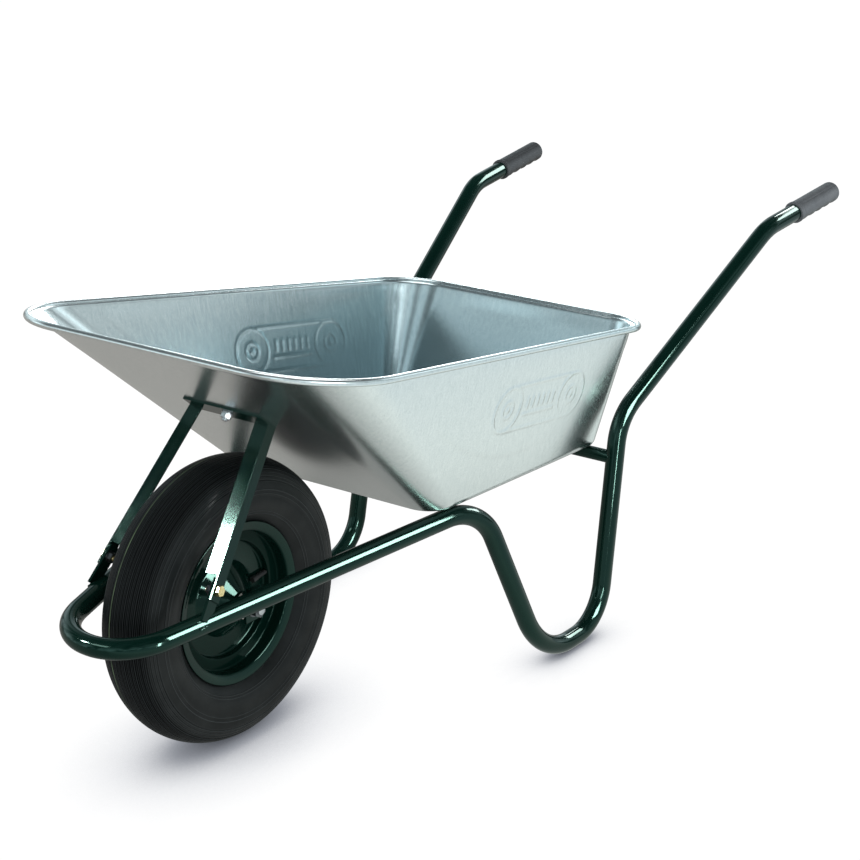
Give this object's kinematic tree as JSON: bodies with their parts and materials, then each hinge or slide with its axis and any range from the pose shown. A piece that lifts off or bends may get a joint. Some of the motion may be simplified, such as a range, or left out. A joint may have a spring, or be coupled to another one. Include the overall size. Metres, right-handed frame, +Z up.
{
  "type": "wheelbarrow",
  "caption": "Wheelbarrow with a galvanised sheet tub, a bent tube frame with two legs and handles, and a pneumatic front wheel that spins.",
  "frame": {"origin": "on the ground, under the middle of the overall length and width", "axes": "+Z up; -Y towards the wheel, +Y towards the handles; +X to the left hand of the person who pushes"},
  "size_m": [0.622, 1.443, 0.5912],
  "materials": {
    "green_coat": "gloss powder coat, very dark green",
    "galvanised_sheet": "galvanised sheet, satin, pale blue grey",
    "tyre_rubber": "matt black rubber",
    "tube_rubber": "black butyl rubber",
    "grip_plastic": "grey moulded plastic",
    "bush_nylon": "natural nylon",
    "valve_black": "black rubber and plastic",
    "yellow_zinc": "yellow zinc plate",
    "clear_zinc": "bright zinc plate"
  },
  "bodies": {
    "frame": {"frame_tube": "green_coat", "cross_tube": "green_coat", "grip_left": "grip_plastic", "grip_right": "grip_plastic", "tub": "galvanised_sheet", "axle": "clear_zinc", "axle_spacer_left": "clear_zinc", "axle_spacer_right": "clear_zinc", "axle_washers": "clear_zinc", "axle_nuts": "clear_zinc", "axle_bracket_left": "green_coat", "axle_bracket_right": "green_coat", "stay_lug_left": "green_coat", "stay_lug_right": "green_coat", "front_stay": "green_coat", "stay_bolts": "yellow_zinc", "stay_washers": "clear_zinc", "stay_nuts": "clear_zinc", "tub_rear_bolts": "clear_zinc", "tub_rear_washers": "clear_zinc", "tub_rear_nuts": "clear_zinc", "tub_front_bolt": "clear_zinc", "tub_front_washer": "clear_zinc", "tub_front_nut": "clear_zinc"},
    "wheel": {"tyre": "tyre_rubber", "inner_tube": "tube_rubber", "rim_half_left": "green_coat", "rim_half_right": "green_coat", "valve_stem": "valve_black", "valve_cap": "valve_black", "hub_tube": "green_coat", "hub_bush_left": "bush_nylon", "hub_bush_right": "bush_nylon"}
  },
  "joints": [
    {"name": "wheel_spin", "type": "hinge", "parent": "frame", "child": "wheel", "pos_m": [0, -0.4626, 0.2], "axis": [1, 0, 0], "continuous": true}
  ]
}
